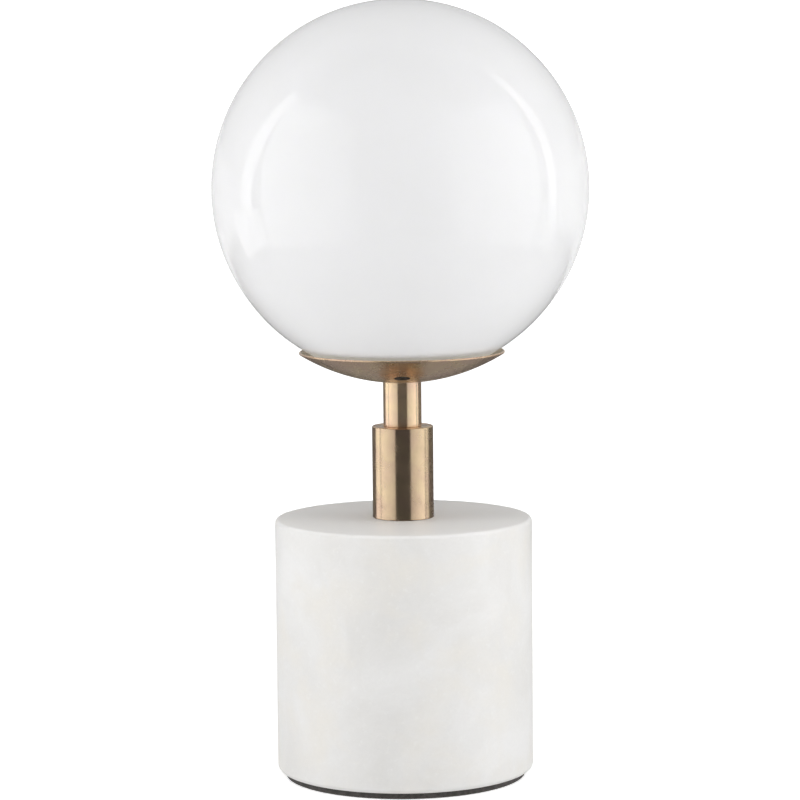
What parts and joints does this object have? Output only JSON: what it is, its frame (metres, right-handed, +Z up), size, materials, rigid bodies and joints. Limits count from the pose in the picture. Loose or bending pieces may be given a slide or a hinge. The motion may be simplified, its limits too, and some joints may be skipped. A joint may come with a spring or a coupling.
{
  "type": "globe table lamp",
  "caption": "Table lamp with an opal glass globe resting in a shallow brass dish, on a brass neck and sleeve over a round marble base.",
  "frame": {"origin": "middle of the foot's underside, on the table", "axes": "+Z up along the lamp's axis, -Y towards the front, +Y to the back, where the cord enters the base"},
  "size_m": [0.18, 0.18, 0.3731],
  "materials": {
    "opal_glass": "opal white, satin, fire-polished",
    "antique_brass": "brushed antique brass, clear lacquered",
    "white_marble": "honed white marble, faint grey and cream mottling",
    "foot_rubber": "matte black",
    "seat_silicone": "soft translucent white",
    "zinc_steel": "bright zinc plated",
    "spring_steel": "satin spring steel",
    "phenolic": "black moulded phenolic",
    "porcelain": "unglazed white porcelain",
    "contact_brass": "plain brass, satin",
    "bulb_aluminium": "rolled, bright",
    "insulator_glass": "black vitrite",
    "clear_glass": "clear, blown",
    "filament_yellow": "yellow phosphor coat",
    "bushing_plastic": "moulded nylon, brass tone",
    "lead_black": "black insulation",
    "lead_white": "white insulation",
    "lead_green": "green insulation"
  },
  "bodies": {
    "root": {"foot_pad": "foot_rubber", "marble_base": "white_marble", "cord_bushing": "bushing_plastic", "threaded_rod": "zinc_steel", "base_washer": "zinc_steel", "lock_washer": "zinc_steel", "base_nut": "zinc_steel", "ground_terminal": "contact_brass", "sleeve": "antique_brass", "sleeve_centring_ring": "zinc_steel", "neck_tube": "antique_brass", "neck_lower_ring": "zinc_steel", "neck_upper_ring": "zinc_steel", "saucer": "antique_brass", "globe_seat": "seat_silicone", "spring_holder": "spring_steel", "saucer_nut": "zinc_steel", "lampholder_cap": "phenolic", "lampholder_lock_screw": "zinc_steel", "lampholder_barrel": "phenolic", "lampholder_insert": "porcelain", "terminal_screws": "contact_brass", "screw_shell": "contact_brass", "centre_contact": "contact_brass", "lead_line": "lead_black", "lead_neutral": "lead_white", "lead_ground": "lead_green"},
    "globe": {"globe_glass": "opal_glass"},
    "bulb": {"bulb_contact": "contact_brass", "bulb_insulator": "insulator_glass", "bulb_cap": "bulb_aluminium", "bulb_glass": "clear_glass", "bulb_stem": "porcelain", "bulb_filaments": "filament_yellow"}
  },
  "joints": [
    {"name": "globe_lift", "type": "slide", "parent": "root", "child": "globe", "axis": [0, 0, 1], "range_m": [0, 0.125]},
    {"name": "bulb_lift", "type": "slide", "parent": "root", "child": "bulb", "axis": [0, 0, 1], "range_m": [0, 0.027]}
  ]
}
